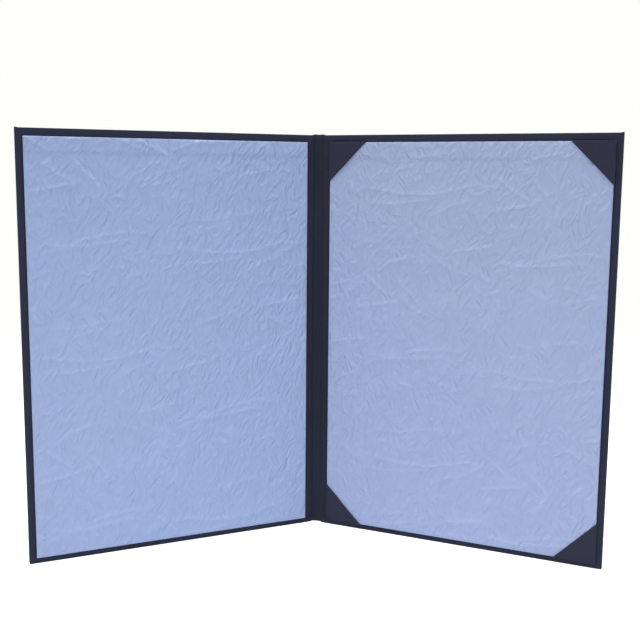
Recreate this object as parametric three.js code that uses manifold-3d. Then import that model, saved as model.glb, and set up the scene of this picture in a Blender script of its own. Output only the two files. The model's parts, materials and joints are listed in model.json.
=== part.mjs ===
// A diploma cover: two cloth-covered boards on a soft cloth spine, standing open like a book.
// Each cover carries a lining card wrapped in crumpled paper, and the back one has four
// cloth corner pockets that hold a sheet. Millimetres, +Z up, the open side towards -Y.

import * as THREE from 'three';
import { mergeVertices } from 'three/addons/utils/BufferGeometryUtils.js';
import Module from 'manifold-3d';

const wasm = await Module();
wasm.setup();

// Sheet sizes
const liningWidth = 212;
const liningHeight = 300;
const foreMargin = 5;
const spineMargin = 5.5;
const headMargin = 5.6;
const tailMargin = 4.4;

// Thicknesses
const boardThickness = 2;
const clothThickness = 0.3;
const cardThickness = 0.8;
const paperThickness = 0.25;
const glueGap = 0.25;

// Cloth folds and strips
const turnIn = 15;
const stripReach = 20;
const spineHeadRise = 0.5;
const clothSlit = 0.3;
const foldClearance = 0.175;

// Corner pockets
const pocketLeg = 29.3;
const pocketSlot = 0.25;

// Crumpled paper
const creaseHeight = 0.2;
const creaseWidth = 1.8;
const creaseRoot = 0.1;
const creaseEdgeMargin = 2;

// The covers shut with this much room between the pockets and the facing paper
const shutClearance = 0.4;

// Rest position, in degrees from the plane that faces the reader
const backCoverTurn = 25;
const frontCoverTurn = 25;
const spineTurn = 9;

// Levels inside a cover, counted inwards from its outer face
const boardLevel = clothThickness + glueGap;
const turnInLevel = boardLevel + boardThickness + glueGap;
const coveredThickness = turnInLevel + clothThickness;
const liningLevel = coveredThickness + glueGap;
const paperLevel = liningLevel + cardThickness + glueGap;
const faceLevel = paperLevel + paperThickness;
const lidLevel = faceLevel + creaseHeight + pocketSlot;

// The spine is two layers of cloth, and each cover turns about the middle of that double layer
const spineThickness = 2 * clothThickness + glueGap;
const hingeLevel = spineThickness / 2;
const closedGap = 2 * creaseHeight + pocketSlot + clothThickness + shutClearance;
const hingeSpacing = 2 * (faceLevel - hingeLevel) + closedGap;

// Distances along a cover, counted from its hinge line
const boardStart = spineThickness - hingeLevel + foldClearance;
const liningStart = boardStart + spineMargin;
const liningEnd = liningStart + liningWidth;
const coverEnd = liningEnd + foreMargin;

// Heights
const coverHeight = tailMargin + liningHeight + headMargin;
const spineHeight = coverHeight + spineHeadRise;
const liningBottom = tailMargin;
const liningTop = liningBottom + liningHeight;

// A cutting block runs this far past what it cuts
const overrun = 2;

const BACK = 1;
const FRONT = -1;

// Main creases of the crumpled paper, in millimetres right and down over one repeat of its pattern
const creases = [
  [[30, 34], [45, 36], [60, 38], [85, 38], [100, 35], [115, 31], [127, 32]],
  [[32, 45], [50, 46], [68, 44], [84, 41]],
  [[82, 58], [88, 51], [98, 46], [112, 42], [119, 37]],
  [[100, 55], [90, 62], [83, 70], [90, 77], [97, 81]],
  [[126, 50], [143, 47], [160, 44]],
  [[98, 80], [115, 77], [131, 75]],
  [[131, 25], [138, 31], [147, 38], [154, 41]],
  [[153, 22], [161, 32], [171, 41], [176, 48], [172, 57], [165, 62]],
  [[128, 91], [137, 86], [146, 88], [161, 88], [180, 86], [192, 84], [203, 88]],
  [[151, 88], [165, 83], [180, 80], [197, 78], [211, 81]],
  [[40, 97], [50, 90], [64, 86], [80, 83]],
  [[125, 101], [111, 106], [96, 118], [87, 131]],
  [[102, 88], [115, 94], [127, 100]],
  [[80, 188], [95, 185], [110, 183]],
  [[41, 221], [60, 221], [79, 217], [99, 215]],
];
// The pattern comes back at these steps: along the roll, and across it with a drop
const repeatDown = [0, 207];
const repeatAcross = [100, -75];
const repeatCopies = 3;
// Where each sheet of paper was cut from the roll, in the pattern's own millimetres
const paperCut = new Map([
  [BACK, [0, 0]],
  [FRONT, [-24, 120]],
]);

const navyCloth = new THREE.MeshStandardMaterial({ color: 0x232b45, roughness: 0.85, metalness: 0 });
const pocketCloth = new THREE.MeshStandardMaterial({ color: 0x272e48, roughness: 0.82, metalness: 0 });
const bluePaper = new THREE.MeshStandardMaterial({ color: 0x9db2e0, roughness: 0.6, metalness: 0 });
const greyBoard = new THREE.MeshStandardMaterial({ color: 0x8c877e, roughness: 0.95, metalness: 0 });
const whiteCard = new THREE.MeshStandardMaterial({ color: 0xe6e4dd, roughness: 0.9, metalness: 0 });

function solidOf(geometry) {
  const bare = geometry.clone();
  bare.deleteAttribute('normal');
  bare.deleteAttribute('uv');
  const merged = mergeVertices(bare);
  return new wasm.Manifold(new wasm.Mesh({
    numProp: 3,
    vertProperties: new Float32Array(merged.attributes.position.array),
    triVerts: new Uint32Array(merged.index.array),
  }));
}

function geometryOf(solid) {
  const mesh = solid.getMesh();
  const geometry = new THREE.BufferGeometry();
  geometry.setAttribute('position', new THREE.BufferAttribute(mesh.vertProperties, 3));
  geometry.setIndex(new THREE.BufferAttribute(mesh.triVerts, 1));
  geometry.computeVertexNormals();
  return geometry;
}

// A block in a cover's own frame, whose origin is on the hinge line at the foot of the cover:
// along is counted from the hinge line, level inwards from the outer face, and height from the foot
function block(side, along, level, height) {
  const box = new THREE.BoxGeometry(along[1] - along[0], level[1] - level[0], height[1] - height[0]);
  return box.translate(
    side * (along[0] + along[1]) / 2,
    hingeLevel - (level[0] + level[1]) / 2,
    (height[0] + height[1]) / 2,
  );
}

function solidBlock(side, along, level, height) {
  return solidOf(block(side, along, level, height));
}

function piece(name, geometry, material) {
  const mesh = new THREE.Mesh(geometry, material);
  mesh.name = name;
  return mesh;
}

function boardGeometry(side) {
  return block(
    side,
    [boardStart, coverEnd - boardLevel],
    [boardLevel, boardLevel + boardThickness],
    [boardLevel, coverHeight - boardLevel],
  );
}

// The cover cloth goes over the outer face and round three edges, and its turn-ins lie on the inner face
function coverClothGeometry(side) {
  const whole = solidBlock(side, [clothSlit / 2, coverEnd], [0, coveredThickness], [0, coverHeight]);
  const boardSpace = solidBlock(
    side,
    [-overrun, coverEnd - clothThickness],
    [clothThickness, turnInLevel],
    [clothThickness, coverHeight - clothThickness],
  );
  const betweenTurnIns = solidBlock(
    side,
    [-overrun, coverEnd - turnIn],
    [clothThickness, coveredThickness + overrun],
    [turnIn, coverHeight - turnIn],
  );
  const besideJoint = solidBlock(
    side,
    [-overrun, boardStart],
    [clothThickness, coveredThickness + overrun],
    [-overrun, coverHeight + overrun],
  );
  return geometryOf(whole.subtract(boardSpace).subtract(betweenTurnIns).subtract(besideJoint));
}

// The joint strip runs from under the lining to the spine, between the head and tail turn-ins
function coverStripGeometry(side) {
  return block(
    side,
    [boardStart, boardStart + stripReach],
    [turnInLevel, coveredThickness],
    [turnIn + glueGap, coverHeight - turnIn - glueGap],
  );
}

function liningCardGeometry(side) {
  const inset = paperThickness + glueGap;
  return block(
    side,
    [liningStart + inset, liningEnd - inset],
    [liningLevel, liningLevel + cardThickness],
    [liningBottom + inset, liningTop - inset],
  );
}

// One raised crease: a low ridge along its points that runs out to nothing at both ends
function creaseGeometry(points) {
  const positions = [];
  const triangles = [];
  const last = points.length - 1;
  points.forEach(([x, z], i) => {
    const before = points[Math.max(i - 1, 0)];
    const after = points[Math.min(i + 1, last)];
    const along = new THREE.Vector2(after[0] - before[0], after[1] - before[1]).normalize();
    const atEnd = i === 0 || i === last;
    const half = atEnd ? creaseWidth / 4 : creaseWidth / 2;
    const crest = atEnd ? 0 : creaseHeight;
    positions.push(x - along.y * half, creaseRoot, z + along.x * half);
    positions.push(x + along.y * half, creaseRoot, z - along.x * half);
    positions.push(x, -crest, z);
  });
  for (let i = 0; i < last; i += 1) {
    const here = 3 * i;
    const next = here + 3;
    for (const [a, b] of [[0, 2], [2, 1], [1, 0]]) {
      triangles.push(here + a, here + b, next + b, here + a, next + b, next + a);
    }
  }
  triangles.push(0, 1, 2, 3 * last, 3 * last + 2, 3 * last + 1);
  const geometry = new THREE.BufferGeometry();
  geometry.setAttribute('position', new THREE.Float32BufferAttribute(positions, 3));
  geometry.setIndex(triangles);
  return geometry;
}

// The stretches of a crease that lie on the sheet, as it is cut
function onSheet(points) {
  const inside = ([x, y]) => x > creaseEdgeMargin && x < liningWidth - creaseEdgeMargin
    && y > creaseEdgeMargin && y < liningHeight - creaseEdgeMargin;
  const kept = [[]];
  for (const point of points) {
    if (inside(point)) {
      kept.at(-1).push(point);
    } else {
      kept.push([]);
    }
  }
  return kept.filter((stretch) => stretch.length > 2);
}

function creasesOnSheet(side) {
  const [cutRight, cutDown] = paperCut.get(side);
  const found = [];
  for (let down = -repeatCopies; down <= repeatCopies; down += 1) {
    for (let across = -repeatCopies; across <= repeatCopies; across += 1) {
      const right = cutRight + down * repeatDown[0] + across * repeatAcross[0];
      const drop = cutDown + down * repeatDown[1] + across * repeatAcross[1];
      for (const crease of creases) {
        found.push(...onSheet(crease.map(([x, y]) => [x + right, y + drop])));
      }
    }
  }
  return found;
}

// The lining paper is laminated to its card and wrapped round the card's edges
function liningPaperGeometry(side) {
  let paper = solidBlock(side, [liningStart, liningEnd], [liningLevel, faceLevel], [liningBottom, liningTop]);
  paper = paper.subtract(solidBlock(
    side,
    [liningStart + paperThickness, liningEnd - paperThickness],
    [liningLevel - overrun, paperLevel],
    [liningBottom + paperThickness, liningTop - paperThickness],
  ));
  const leftEdge = side === BACK ? liningStart : -liningEnd;
  for (const crease of creasesOnSheet(side)) {
    const placed = crease.map(([x, y]) => [leftEdge + x, liningTop - y]);
    const ridge = creaseGeometry(placed).translate(0, hingeLevel - faceLevel, 0);
    paper = paper.add(solidOf(ridge));
  }
  return geometryOf(paper);
}

// A corner pocket: a cloth triangle over the lining's corner, turned down over its two edges
function pocketGeometry(atForeEdge, atHead) {
  const wall = glueGap + clothThickness;
  const corner = new THREE.Vector2(atForeEdge ? liningEnd : liningStart, atHead ? liningTop : liningBottom);
  const inwards = new THREE.Vector2(atForeEdge ? -1 : 1, atHead ? -1 : 1);
  const place = (along, up) => new THREE.Vector2(corner.x + inwards.x * along, corner.y + inwards.y * up);
  const outline = new THREE.Shape([
    place(-wall, -wall),
    place(pocketLeg + wall, -wall),
    place(-wall, pocketLeg + wall),
  ]);
  const prism = new THREE.ExtrudeGeometry(outline, {
    depth: lidLevel + clothThickness - liningLevel,
    bevelEnabled: false,
  });
  prism.rotateX(Math.PI / 2);
  prism.translate(0, hingeLevel - liningLevel, 0);
  const liningSpace = solidBlock(
    BACK,
    [liningStart - glueGap, liningEnd + glueGap],
    [liningLevel - overrun, lidLevel],
    [liningBottom - glueGap, liningTop + glueGap],
  );
  return geometryOf(solidOf(prism).subtract(liningSpace));
}

// The middle of the cover cloth, with its head and tail turned in
function spineClothGeometry() {
  const reach = hingeSpacing / 2 - clothSlit / 2;
  const whole = solidBlock(BACK, [-reach, reach], [0, spineThickness], [0, spineHeight]);
  const fold = solidBlock(
    BACK,
    [-reach - overrun, reach + overrun],
    [clothThickness, clothThickness + glueGap],
    [clothThickness, spineHeight - clothThickness],
  );
  const betweenTurnIns = solidBlock(
    BACK,
    [-reach - overrun, reach + overrun],
    [clothThickness, spineThickness + overrun],
    [turnIn, spineHeight - turnIn],
  );
  return geometryOf(whole.subtract(fold).subtract(betweenTurnIns));
}

function spineStripGeometry() {
  const reach = hingeSpacing / 2 - clothSlit / 2;
  return block(
    BACK,
    [-reach, reach],
    [clothThickness + glueGap, spineThickness],
    [turnIn + glueGap, spineHeight - turnIn - glueGap],
  );
}

function makeCover(side, name) {
  const cover = new THREE.Group();
  cover.add(piece(`${name}_board`, boardGeometry(side), greyBoard));
  cover.add(piece(`${name}_cover_cloth`, coverClothGeometry(side), navyCloth));
  cover.add(piece(`${name}_joint_strip`, coverStripGeometry(side), navyCloth));
  cover.add(piece(`${name}_lining_card`, liningCardGeometry(side), whiteCard));
  cover.add(piece(`${name}_lining_paper`, liningPaperGeometry(side), bluePaper));
  return cover;
}

function makePockets() {
  const pockets = new THREE.Group();
  for (const atHead of [true, false]) {
    for (const atForeEdge of [true, false]) {
      const name = `pocket_${atHead ? 'head' : 'tail'}_${atForeEdge ? 'fore' : 'spine'}`;
      pockets.add(piece(name, pocketGeometry(atForeEdge, atHead), pocketCloth));
    }
  }
  return pockets;
}

function makeSpine() {
  const spine = new THREE.Group();
  spine.add(piece('spine_cloth', spineClothGeometry(), navyCloth));
  spine.add(piece('spine_joint_strip', spineStripGeometry(), navyCloth));
  return spine;
}

const spine = makeSpine();
spine.rotation.z = THREE.MathUtils.degToRad(-spineTurn);

const backCover = makeCover(BACK, 'back');
backCover.add(makePockets());
backCover.position.x = hingeSpacing / 2;
backCover.rotation.z = THREE.MathUtils.degToRad(spineTurn - backCoverTurn);
spine.add(backCover);

const frontCover = makeCover(FRONT, 'front');
frontCover.position.x = -hingeSpacing / 2;
frontCover.rotation.z = THREE.MathUtils.degToRad(spineTurn + frontCoverTurn);
spine.add(frontCover);

const diplomaCover = new THREE.Group();
diplomaCover.add(spine);

// The origin is under the middle of the open cover, on the surface it stands on
diplomaCover.updateMatrixWorld(true);
const extent = new THREE.Box3().setFromObject(diplomaCover, true);
const middle = extent.getCenter(new THREE.Vector3());
spine.position.set(-middle.x, -middle.y, -extent.min.z);
diplomaCover.updateMatrixWorld(true);

export default diplomaCover;
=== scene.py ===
"""Looks of a diploma cover that stands open like a book.

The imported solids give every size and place. This script dresses them: navy book cloth over the
boards and the soft spine, light blue crumpled paper on the linings, and folded cloth corners.
Lengths in the script are metres; a value in millimetres is written as a number times MM.
"""

import json
import logging
import math
from collections.abc import Callable, Iterable
from dataclasses import dataclass, field
from enum import Enum

import bmesh
import bpy
import numpy as np
from mathutils import Matrix, Vector


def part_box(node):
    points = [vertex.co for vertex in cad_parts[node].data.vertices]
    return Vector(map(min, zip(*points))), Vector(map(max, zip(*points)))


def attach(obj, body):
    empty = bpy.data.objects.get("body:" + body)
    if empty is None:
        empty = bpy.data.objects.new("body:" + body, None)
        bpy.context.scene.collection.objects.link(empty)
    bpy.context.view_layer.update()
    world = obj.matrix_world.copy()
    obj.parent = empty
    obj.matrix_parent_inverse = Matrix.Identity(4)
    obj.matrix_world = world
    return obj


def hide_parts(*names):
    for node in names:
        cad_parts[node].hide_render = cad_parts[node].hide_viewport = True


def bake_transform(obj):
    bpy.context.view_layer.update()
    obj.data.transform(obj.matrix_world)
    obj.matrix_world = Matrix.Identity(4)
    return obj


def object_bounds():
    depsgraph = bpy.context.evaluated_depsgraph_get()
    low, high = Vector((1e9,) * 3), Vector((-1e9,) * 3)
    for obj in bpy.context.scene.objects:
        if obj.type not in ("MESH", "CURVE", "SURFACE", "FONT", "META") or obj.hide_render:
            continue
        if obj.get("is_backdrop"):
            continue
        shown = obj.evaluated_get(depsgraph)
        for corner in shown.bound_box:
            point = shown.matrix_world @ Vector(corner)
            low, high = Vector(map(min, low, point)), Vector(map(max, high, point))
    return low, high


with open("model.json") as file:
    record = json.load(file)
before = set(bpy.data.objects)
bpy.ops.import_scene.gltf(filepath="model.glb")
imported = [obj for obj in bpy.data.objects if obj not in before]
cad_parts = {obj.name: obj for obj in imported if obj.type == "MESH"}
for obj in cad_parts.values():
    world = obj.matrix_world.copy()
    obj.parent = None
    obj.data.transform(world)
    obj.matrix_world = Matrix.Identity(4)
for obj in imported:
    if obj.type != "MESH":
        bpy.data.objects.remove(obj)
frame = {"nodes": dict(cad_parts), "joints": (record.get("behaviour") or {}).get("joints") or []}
cad_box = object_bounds()

log = logging.getLogger("diploma_cover")

MM = 0.001

# Points closer than this are on the same plane
SAME = 1e-6

# Rest angles of the part's source
COVER_TURN = math.radians(25)
SPINE_TURN = math.radians(9)

# Sizes that the solids keep but that no box shows
TURN_IN = 15 * MM
CLOTH_THICKNESS = 0.3 * MM
CREASE_HEIGHT = 0.2 * MM
POCKET_LEG = 29.3 * MM

# Where the cloth bends at a joint, as distances along the cover from the hinge line
BEND_START = 0.9 * MM
BEND_END = -2.7 * MM

Chain = list[tuple[float, float]]
Colour = tuple[float, float, float]


class Side(Enum):
    """Which cover a piece belongs to."""

    BACK = 1
    FRONT = -1

    @property
    def word(self) -> str:
        """The word that the cover's node names start with."""
        return self.name.lower()

    @property
    def body(self) -> str:
        """The body that the cover's pieces ride on."""
        return f"{self.word}_cover"


def smooth_step(value: float, start: float, end: float) -> float:
    """Rises smoothly from 0 at start to 1 at end.

    Args:
        value: where to read the curve.
        start: the value that gives 0.
        end: the value that gives 1.

    Returns:
        A number from 0 to 1.
    """
    share = min(1.0, max(0.0, (value - start) / (end - start)))
    return share * share * (3 - 2 * share)


# Node graphs


class Graph:
    """Adds nodes to a material's or a group's tree and links them."""

    def __init__(self, tree: bpy.types.NodeTree) -> None:
        """Keeps the tree that nodes go into."""
        self.tree = tree

    def node(self, kind: str, settings: dict | None = None, **sockets: object) -> bpy.types.Node:
        """Adds a node.

        Args:
            kind: the node's Blender type name.
            settings: properties of the node itself.
            **sockets: input name, with underscores for spaces, to a value or an output socket.

        Returns:
            The new node.
        """
        made = self.tree.nodes.new(kind)
        for name, value in (settings or {}).items():
            setattr(made, name, value)
        for name, value in sockets.items():
            self.feed(made.inputs[name.replace("_", " ")], value)
        return made

    def feed(self, socket: bpy.types.NodeSocket, value: object) -> None:
        """Links an output to a socket, or sets the socket's own value."""
        if isinstance(value, bpy.types.NodeSocket):
            self.tree.links.new(value, socket)
        else:
            socket.default_value = value

    def on(self, kind: str, settings: dict, *values: object) -> bpy.types.Node:
        """Adds a node whose inputs are fed in their own order."""
        made = self.node(kind, settings)
        for socket, value in zip(made.inputs, values):
            self.feed(socket, value)
        return made

    def math(self, operation: str, *values: object) -> bpy.types.NodeSocket:
        """Adds a Math node on the given values and returns its output."""
        return self.on("ShaderNodeMath", {"operation": operation}, *values).outputs[0]

    def shader(self, kind: str, *values: object) -> bpy.types.NodeSocket:
        """Adds a node that joins shaders and returns its output."""
        return self.on(kind, {}, *values).outputs[0]

    def steps(self, value: object, low: float, high: float) -> bpy.types.NodeSocket:
        """Rises from 0 where the value is low to 1 where it is high."""
        return self.node("ShaderNodeMapRange", Value=value, From_Min=low, From_Max=high).outputs[0]

    def drifted(self, vector: bpy.types.NodeSocket, scale: float, reach: float) -> bpy.types.NodeSocket:
        """Shifts a vector by a slow noise, at most by the reach, and returns it."""
        drift = self.node("ShaderNodeTexNoise", Vector=vector, Scale=scale, Detail=1.0)
        how = {"operation": "MULTIPLY_ADD"}
        moved = self.on("ShaderNodeVectorMath", how, drift.outputs["Color"], (reach, reach, 0.0), vector)
        return moved.outputs[0]

    def mix(self, share: object, low: object, high: object) -> bpy.types.NodeSocket:
        """Mixes two colours by a share and returns the colour."""
        made = self.tree.nodes.new("ShaderNodeMix")
        made.data_type = "RGBA"
        self.feed(made.inputs["Factor"], share)
        self.feed(made.inputs["A"], low)
        self.feed(made.inputs["B"], high)
        return made.outputs["Result"]

    def noise(self, vector: bpy.types.NodeSocket, scale: float, detail: float) -> bpy.types.NodeSocket:
        """Adds a noise texture and returns its value."""
        made = self.node("ShaderNodeTexNoise", Vector=vector, Scale=scale, Detail=detail)
        return made.outputs["Fac"]

    def stretched(self, vector: bpy.types.NodeSocket, across: float, up: float) -> bpy.types.NodeSocket:
        """Scales a vector's first two axes and returns it."""
        return self.node("ShaderNodeMapping", Vector=vector, Scale=(across, up, 1.0)).outputs[0]


def new_group(
    name: str, inputs: dict[str, tuple[str, object]], outputs: dict[str, str],
) -> tuple[Graph, dict, dict]:
    """Makes an empty shader node group.

    Args:
        name: the group's name.
        inputs: socket name to its socket type and default.
        outputs: socket name to its socket type.

    Returns:
        The graph, its input sockets by name and its output sockets by name.
    """
    tree = bpy.data.node_groups.new(name, "ShaderNodeTree")
    for label, (kind, default) in inputs.items():
        socket = tree.interface.new_socket(name=label, in_out="INPUT", socket_type=kind)
        if default is not None:
            socket.default_value = default
    for label, kind in outputs.items():
        tree.interface.new_socket(name=label, in_out="OUTPUT", socket_type=kind)
    graph = Graph(tree)
    entry = graph.node("NodeGroupInput")
    leave = graph.node("NodeGroupOutput")
    return graph, dict(entry.outputs.items()), dict(leave.inputs.items())


# How the threads of the weave wander, how their colour streaks, and how the painted shade between the threads
# (from their height) and the streaks share the tone
WEAVE_WOBBLE_SCALE = 260.0
WEAVE_WOBBLE_REACH = 0.12 * MM
STREAK_FINE, STREAK_LONG = 1500.0, 40.0
TONE_OF_THREAD_SHADE, TONE_OF_STREAKS = 0.45, 0.55

# How the fine creases wander, and for each fan its lean in degrees and its scale across and along
CREASE_DRIFT_SCALE = 70.0
CREASE_DRIFT_REACH = 6 * MM
CREASE_FANS = ((62.0, 195.0, 70.0), (-66.0, 200.0, 75.0), (6.0, 60.0, 220.0))
CREASE_SHARPNESS = 2.2
CREASE_POWER = 0.8


def weave_group() -> bpy.types.NodeTree:
    """Plain weave: how high the threads stand, and how light the cloth is painted: darker where threads lie
    low, as painted shade between them, with streaks of the yarn.
    """
    graph, given, wanted = new_group(
        "plain_weave",
        {"Vector": ("NodeSocketVector", None), "Threads": ("NodeSocketFloat", 2400.0)},
        {"Height": "NodeSocketFloat", "Tone": "NodeSocketFloat"},
    )
    shifted = graph.drifted(given["Vector"], WEAVE_WOBBLE_SCALE, WEAVE_WOBBLE_REACH)
    parts = graph.node("ShaderNodeSeparateXYZ", Vector=shifted)
    turns = graph.math("MULTIPLY", given["Threads"], math.pi)
    warp = graph.math("SINE", graph.math("MULTIPLY", parts.outputs["X"], turns))
    weft = graph.math("SINE", graph.math("MULTIPLY", parts.outputs["Y"], turns))
    over = graph.math("MULTIPLY", warp, weft)
    on_top = graph.math("ADD", graph.math("MULTIPLY", over, 0.5), 0.5)
    warp_round = graph.math("ABSOLUTE", warp)
    weft_round = graph.math("ABSOLUTE", weft)
    height = graph.math(
        "ADD",
        graph.math("MULTIPLY", warp_round, on_top),
        graph.math("MULTIPLY", weft_round, graph.math("SUBTRACT", 1.0, on_top)),
    )
    along = graph.noise(graph.stretched(given["Vector"], STREAK_FINE, STREAK_LONG), 1.0, 2.0)
    across = graph.noise(graph.stretched(given["Vector"], STREAK_LONG, STREAK_FINE), 1.0, 2.0)
    streaks = graph.math("MULTIPLY", graph.math("ADD", along, across), 0.5)
    # Threads that lie low are painted darker: painted shade between the threads.
    painted_thread_shade = graph.math("MULTIPLY", height, TONE_OF_THREAD_SHADE)
    from_streaks = graph.math("MULTIPLY", streaks, TONE_OF_STREAKS)
    graph.feed(wanted["Height"], height)
    graph.feed(wanted["Tone"], graph.math("ADD", painted_thread_shade, from_streaks))
    return graph.tree


def patches_group() -> bpy.types.NodeTree:
    """Soft patches of handling: a slow change over the surface."""
    graph, given, wanted = new_group(
        "handling_patches",
        {"Vector": ("NodeSocketVector", None)},
        {"Slow": "NodeSocketFloat"},
    )
    graph.feed(wanted["Slow"], graph.noise(given["Vector"], 14.0, 3.0))
    return graph.tree


def fine_creases_group() -> bpy.types.NodeTree:
    """Fine crumple: short ridges that lean one way in one patch and another way in the next."""
    graph, given, wanted = new_group(
        "fine_creases",
        {"Vector": ("NodeSocketVector", None)},
        {"Height": "NodeSocketFloat"},
    )
    warped = graph.drifted(given["Vector"], CREASE_DRIFT_SCALE, CREASE_DRIFT_REACH)
    fans = []
    for lean, across, along in CREASE_FANS:
        turn = (0, 0, math.radians(90 - lean))
        turned = graph.node("ShaderNodeMapping", Vector=warped, Rotation=turn)
        fine = graph.noise(graph.stretched(turned.outputs[0], across, along), 1.0, 1.0)
        away = graph.math("ABSOLUTE", graph.math("MULTIPLY_ADD", fine, 2.0, -1.0))
        sharpened = graph.math("POWER", graph.math("MULTIPLY", away, CREASE_SHARPNESS), CREASE_POWER)
        fans.append(graph.math("SUBTRACT", 1.0, sharpened))
    where = graph.noise(given["Vector"], 45.0, 1.0)
    height = fans[0]
    for fan, mask in zip(fans[1:], (graph.steps(where, 0.56, 0.62), graph.steps(where, 0.42, 0.36))):
        change = graph.math("MULTIPLY", mask, graph.math("SUBTRACT", fan, height))
        height = graph.math("ADD", height, change)
    graph.feed(wanted["Height"], height)
    return graph.tree


# Finishes


@dataclass(frozen=True)
class Finish:
    """A procedural finish: its colours and how it shines."""

    name: str
    dark: Colour
    light: Colour
    roughness: float

    def material(self) -> bpy.types.Material:
        """Makes the material, or returns the one made before."""
        known = bpy.data.materials.get(self.name)
        if known is not None:
            return known
        made = bpy.data.materials.new(self.name)
        made.use_nodes = True
        made.node_tree.nodes.clear()
        graph = Graph(made.node_tree)
        surface = graph.node("ShaderNodeBsdfPrincipled", Roughness=self.roughness)
        leave = graph.node("ShaderNodeOutputMaterial")
        graph.feed(leave.inputs["Surface"], surface.outputs[0])
        self.paint(graph, surface)
        return made

    def paint(self, graph: Graph, surface: bpy.types.Node) -> None:
        """Links the finish's own pattern to the shader."""
        raise NotImplementedError

    def tint(self, graph: Graph, surface: bpy.types.Node, tone: object, low: float, high: float) -> None:
        """Colours the shader from dark, where the tone is low, to light, where it is high."""
        colour = graph.mix(graph.steps(tone, low, high), (*self.dark, 1), (*self.light, 1))
        graph.feed(surface.inputs["Base Color"], colour)

    def emboss(
        self, graph: Graph, surface: bpy.types.Node, height: object, strength: float, distance: float,
    ) -> None:
        """Bumps the shader by a height."""
        bump = graph.node("ShaderNodeBump", Strength=strength, Distance=distance, Height=height)
        graph.feed(surface.inputs["Normal"], bump.outputs[0])


@dataclass(frozen=True)
class BookCloth(Finish):
    """Plain-woven, starched book cloth, read from the piece's own map of the cloth in metres."""

    threads_per_metre: float = 2300.0
    relief: float = 0.06 * MM

    def paint(self, graph: Graph, surface: bpy.types.Node) -> None:
        """Links the weave, with its painted shade between the threads, and the handling patches to the
        shader.
        """
        flat = graph.node("ShaderNodeUVMap", {"uv_map": "cloth"}).outputs[0]
        place = graph.node("ShaderNodeTexCoord").outputs["Object"]
        weave = graph.node("ShaderNodeGroup", {"node_tree": GROUPS["weave"]()}, Vector=flat)
        graph.feed(weave.inputs["Threads"], self.threads_per_metre)
        patches = graph.node("ShaderNodeGroup", {"node_tree": GROUPS["patches"]()}, Vector=place)
        slow = graph.math("MULTIPLY", patches.outputs["Slow"], 0.5)
        self.tint(graph, surface, graph.math("ADD", weave.outputs["Tone"], slow), 0.35, 1.15)
        self.emboss(graph, surface, weave.outputs["Height"], 0.5, self.relief)
        surface.inputs["Sheen Weight"].default_value = 0.05
        surface.inputs["Sheen Roughness"].default_value = 0.4
        surface.inputs["Specular IOR Level"].default_value = 0.3


@dataclass(frozen=True)
class CrumpledPaper(Finish):
    """Smooth coloured paper with the fine wrinkles that are too small for the mesh."""

    wrinkle: float = 0.75 * MM

    def paint(self, graph: Graph, surface: bpy.types.Node) -> None:
        """Links the wrinkles, the slow change of tone and a painted highlight on the crests to the shader."""
        place = graph.node("ShaderNodeTexCoord").outputs["Object"]
        patches = graph.node("ShaderNodeGroup", {"node_tree": GROUPS["patches"]()}, Vector=place)
        crest_highlight = graph.node("ShaderNodeAttribute", {"attribute_name": "crest_highlight"}).outputs["Fac"]
        flat = graph.node("ShaderNodeUVMap", {"uv_map": "paper"}).outputs[0]
        wrinkles = graph.node("ShaderNodeGroup", {"node_tree": GROUPS["creases"]()}, Vector=flat).outputs[0]
        fibres = graph.noise(place, 1500.0, 3.0)
        slow = graph.math("MULTIPLY", patches.outputs["Slow"], 0.5)
        # Crests are painted lighter: a painted highlight on the raised creases.
        tone = graph.math("ADD", slow, graph.math("MULTIPLY", crest_highlight, 0.5))
        self.tint(graph, surface, tone, 0.2, 0.8)
        height = graph.math("ADD", wrinkles, graph.math("MULTIPLY", fibres, 0.08))
        self.emboss(graph, surface, height, 0.8, self.wrinkle)
        surface.inputs["Specular IOR Level"].default_value = 0.35


@dataclass(frozen=True)
class PressedBoard(Finish):
    """Raw grey or white board: pulp flecks and a fine tooth."""

    def paint(self, graph: Graph, surface: bpy.types.Node) -> None:
        """Links the flecks and the tooth to the shader."""
        place = graph.node("ShaderNodeTexCoord").outputs["Object"]
        flecks = graph.noise(place, 1400.0, 5.0)
        self.tint(graph, surface, flecks, 0.3, 0.7)
        self.emboss(graph, surface, flecks, 0.4, 0.03 * MM)


def kept(make: Callable[[], bpy.types.NodeTree]) -> Callable[[], bpy.types.NodeTree]:
    """Makes a node group once and gives the same one each time."""
    made: list[bpy.types.NodeTree] = []

    def get() -> bpy.types.NodeTree:
        """Returns the group, made on the first call."""
        if not made:
            made.append(make())
        return made[0]

    return get


GROUPS = {
    "weave": kept(weave_group),
    "patches": kept(patches_group),
    "creases": kept(fine_creases_group),
}

NAVY_CLOTH = BookCloth("navy_book_cloth", (0.0082, 0.0106, 0.025), (0.0195, 0.0244, 0.055), 0.85)
# The strip's cloth is the navy cloth painted darker: painted shade for the strip deep in the groove between
# the covers.
SHADED_STRIP_CLOTH = BookCloth("navy_strip_cloth_painted_shade", (0.0058, 0.0075, 0.0175), (0.0142, 0.0176, 0.039), 0.85)
POCKET_CLOTH = BookCloth("navy_pocket_cloth", (0.0097, 0.0113, 0.026), (0.0218, 0.0252, 0.055), 0.85)
BLUE_PAPER = CrumpledPaper("blue_crumpled_paper", (0.333, 0.419, 0.673), (0.370, 0.460, 0.724), 0.5)
GREY_BOARD = PressedBoard("pressed_grey_board", (0.20, 0.185, 0.16), (0.33, 0.31, 0.27), 0.9)
WHITE_CARD = PressedBoard("plain_white_card", (0.70, 0.69, 0.64), (0.82, 0.81, 0.76), 0.85)


# Places


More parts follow.
